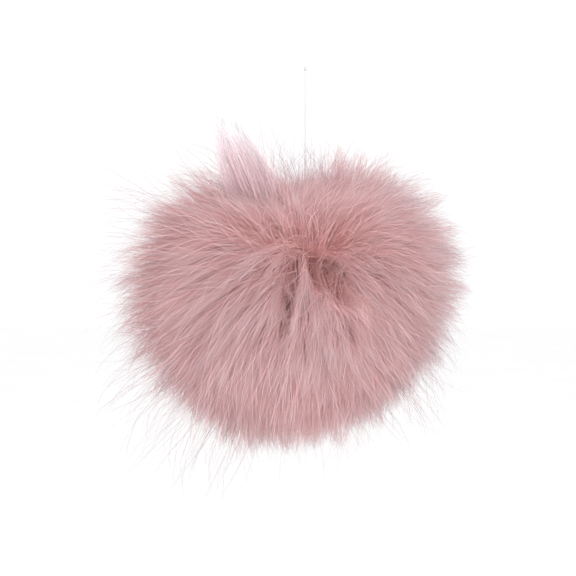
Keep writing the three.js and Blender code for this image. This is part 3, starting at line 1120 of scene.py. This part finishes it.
def hair_material(name, tones, along, unevenness):
    material, tree, shader = new_material(name)
    place = tree.nodes.new("ShaderNodeUVMap")
    place.uv_map = HAIR_MAP
    strip = place_group(tree, hair_strip, place.outputs["UV"], Unevenness=unevenness)
    tone = ramp(tree, strip.outputs["Tone"], tones)
    root_to_tip = ramp(tree, strip.outputs["Along"], along)
    tree.links.new(mixed(tree, "MULTIPLY", tone, root_to_tip), shader.inputs["Base Color"])
    set_inputs(shader, {"Roughness": 0.6, "Specular IOR Level": 0.1, "Sheen Weight": 0.03})
    set_inputs(shader, {"Subsurface Weight": 0.4, "Subsurface Scale": HAIR_WIDTH})
    set_inputs(shader, {"Subsurface Radius": (1.0, 0.8, 0.8)})
    return material


PILE_TONES = [
    (0.0, (0.48, 0.23, 0.205)),
    (0.22, (0.565, 0.325, 0.31)),
    (0.45, (0.71, 0.45, 0.46)),
    (0.8, (0.855, 0.715, 0.745)),
    (1.0, (0.92, 0.91, 0.97)),
]
# Root to tip: painted shade deep in the pile, and painted light at the thin tips.
PILE_SHADE_AND_TIP_LIGHT = [
    (0.0, (0.70, 0.42, 0.39)),
    (0.5, (0.84, 0.62, 0.61)),
    (0.8, (0.91, 0.77, 0.77)),
    (1.0, (1.0, 1.0, 1.0)),
]
pile_material = hair_material("dusty_pink_pile", PILE_TONES, PILE_SHADE_AND_TIP_LIGHT, unevenness=0.08)
for piece in [*pile, strands, tall_tuft, pointed_locks]:
    piece.data.materials.append(pile_material)

# %% [markdown]
# ## The colour of the loose hairs
# The longest hairs are the undyed guard hairs of the pile, a thin greyish pink. They use the same kind
# of material with other values.

# %% Loose hair colour
LOOSE_TONES = [
    (0.0, (0.34, 0.29, 0.33)),
    (0.4, (0.60, 0.50, 0.53)),
    (0.7, (0.78, 0.50, 0.51)),
    (1.0, (0.86, 0.66, 0.68)),
]
LOOSE_ALONG = [
    (0.0, (0.80, 0.50, 0.47)),
    (0.6, (0.95, 0.84, 0.84)),
    (1.0, (0.97, 0.98, 1.0)),
]
guard_hair = hair_material("guard_hair", LOOSE_TONES, LOOSE_ALONG, unevenness=0.25)
loose_hairs.data.materials.append(guard_hair)
print("finishes of the hairs:", pile_material.name, guard_hair.name)

# %% [markdown]
# ## The colour of the down
# The down is the same dyed fibre, seen end on as a soft grain. It is painted darkest and reddest where it
# lies deep, in the gaps and under the parting, as painted shade. How deep a point lies is its distance
# from the ball's middle, so the pattern is centred there by a Mapping node.

# %% Down colour
DOWN_DEPTH_SHADE = [
    (0.0, (0.36, 0.13, 0.115)),
    (0.6, (0.50, 0.24, 0.225)),
    (1.0, (0.70, 0.43, 0.43)),
]
DOWN_GRAIN = [(0.3, (0.80, 0.74, 0.74)), (0.7, (1.0, 1.0, 1.0))]
# Distances from the ball's middle: the down's painted shade is deepest within the first and gone past the
# second.
DARKEST_WITHIN = 26 * MM
PALEST_PAST = 42 * MM


def make_down_material():
    material, tree, shader = new_material("soft_down")
    place = tree.nodes.new("ShaderNodeTexCoord")
    centred = tree.nodes.new("ShaderNodeMapping")
    centred.inputs["Location"].default_value = -ball_middle
    tree.links.new(place.outputs["Object"], centred.inputs["Vector"])
    out = tree.nodes.new("ShaderNodeVectorMath")
    out.operation = "LENGTH"
    tree.links.new(centred.outputs["Vector"], out.inputs[0])
    depth = tree.nodes.new("ShaderNodeMapRange")
    set_inputs(depth, {"From Min": DARKEST_WITHIN, "From Max": PALEST_PAST})
    tree.links.new(out.outputs["Value"], depth.inputs["Value"])
    grain = place_group(tree, fine_grain, centred.outputs["Vector"], Scale=1500, Softness=0.7)
    # Painted shade: the deeper the down lies, the darker it is.
    deep = ramp(tree, depth.outputs["Result"], DOWN_DEPTH_SHADE)
    fuzz = ramp(tree, grain.outputs["Mask"], DOWN_GRAIN)
    tree.links.new(mixed(tree, "MULTIPLY", deep, fuzz), shader.inputs["Base Color"])
    add_bump(tree, shader, grain.outputs["Height"], strength=0.6, distance=0.4 * MM)
    set_inputs(shader, {"Roughness": 0.85, "Sheen Weight": 0.2})
    return material


down.data.materials.append(make_down_material())
print("finish of the down:", down.data.materials[0].name)

# %% [markdown]
# ## The nylon of the thread
# The thread is a drawn nylon filament, pale and a little glossy. Drawing leaves faint streaks along it,
# so the grain is stretched along Z before it meets the colour, the roughness and a slight bump.

# %% Nylon
NYLON_COLOURS = [(0.35, (0.50, 0.50, 0.49)), (0.65, (0.62, 0.62, 0.61))]


def make_nylon():
    material, tree, shader = new_material("pale_nylon")
    place = tree.nodes.new("ShaderNodeTexCoord")
    stretch = tree.nodes.new("ShaderNodeMapping")
    stretch.inputs["Scale"].default_value = (1, 1, 0.04)
    tree.links.new(place.outputs["Object"], stretch.inputs["Vector"])
    grain = place_group(tree, fine_grain, stretch.outputs["Vector"], Scale=9000, Softness=0.5)
    tree.links.new(ramp(tree, grain.outputs["Mask"], NYLON_COLOURS), shader.inputs["Base Color"])
    rough = tree.nodes.new("ShaderNodeMapRange")
    set_inputs(rough, {"To Min": 0.3, "To Max": 0.5})
    tree.links.new(grain.outputs["Mask"], rough.inputs["Value"])
    tree.links.new(rough.outputs["Result"], shader.inputs["Roughness"])
    add_bump(tree, shader, grain.outputs["Height"], strength=0.3, distance=0.02 * MM)
    return material


nylon = make_nylon()
thread.data.materials.append(nylon)
knot.data.materials.append(nylon)
print("finish of the thread and its knot:", nylon.name)

# %% [markdown]
# ## What each piece rides on and stands for
# Every piece rides on the one body. The down and the hairs stand for the solid pile, and the thread and
# its knot for theirs.

# %% Riding and replacing
fur = [*pile, strands, tall_tuft, pointed_locks, loose_hairs, down]
for piece in fur:
    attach(piece, "root")
    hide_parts("fur_ball")
for piece in (thread, knot):
    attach(piece, "root")
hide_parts("thread")
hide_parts("thread_knot")
print("pieces that ride:", len(fur) + len([thread, knot]))

# %% [markdown]
# ## The floor
# The pompom hangs well above a plain pale floor, far enough that no edge of it comes into view.

# %% Floor
FLOOR_HEIGHT = -0.45
FLOOR_RADIUS = 4
FLOOR_COLOURS = [(0.3, (0.93, 0.93, 0.93)), (0.7, (0.96, 0.96, 0.96))]


def make_floor():
    shape = bmesh.new()
    bmesh.ops.create_circle(shape, cap_ends=True, segments=64, radius=FLOOR_RADIUS)
    bmesh.ops.translate(shape, verts=shape.verts, vec=(0, 0, FLOOR_HEIGHT))
    mesh = bpy.data.meshes.new("floor")
    shape.to_mesh(mesh)
    shape.free()
    floor = add_object("floor", mesh)
    material, tree, shader = new_material("matt_white_floor")
    place = tree.nodes.new("ShaderNodeTexCoord")
    grain = place_group(tree, fine_grain, place.outputs["Object"], Scale=60, Softness=0.5)
    tree.links.new(ramp(tree, grain.outputs["Mask"], FLOOR_COLOURS), shader.inputs["Base Color"])
    shader.inputs["Roughness"].default_value = 0.9
    mesh.materials.append(material)


make_floor()
print("floor at", FLOOR_HEIGHT, "m")

# %% [markdown]
# ## Soft studio light
# A white room all round and a soft lamp from the front leave hardly a shadow, so that the pile looks as
# soft as it is, and a weaker lamp behind lets light through its rim. The colours are shown as they are,
# without a film look.

# %% Light
FRONT_LAMP = {"place": (0.05, -1.25, 0.40), "size": 0.8, "power": 12}
BACK_LAMP = {"place": (-0.2, 1.3, 0.35), "size": 0.9, "power": 7}
ROOM_LIGHT = 1.04


def soft_lamp(name, place, size, power):
    light = bpy.data.lights.new(name, "AREA")
    light.shape = "DISK"
    light.size = size
    light.energy = power
    lamp = add_object(name, light)
    lamp.location = place
    lamp.rotation_mode = "QUATERNION"
    lamp.rotation_quaternion = Vector(np.array(place) - ball_middle).to_track_quat("Z", "Y")
    lamp.visible_camera = False


soft_lamp("front_lamp", **FRONT_LAMP)
soft_lamp("back_lamp", **BACK_LAMP)
room = bpy.data.worlds.new("white_room")
bpy.context.scene.world = room
room.use_nodes = True
room.node_tree.nodes["Background"].inputs["Color"].default_value = (1, 1, 1, 1)
room.node_tree.nodes["Background"].inputs["Strength"].default_value = ROOM_LIGHT
bpy.context.scene.view_settings.view_transform = "Standard"
print("lamp power, W:", FRONT_LAMP["power"], BACK_LAMP["power"])

# %% [markdown]
# ## Last update
# The view layer is brought up to date once more. The dressed pompom may stand only a little proud
# of the solid one.

# %% Last update
bpy.context.view_layer.update()
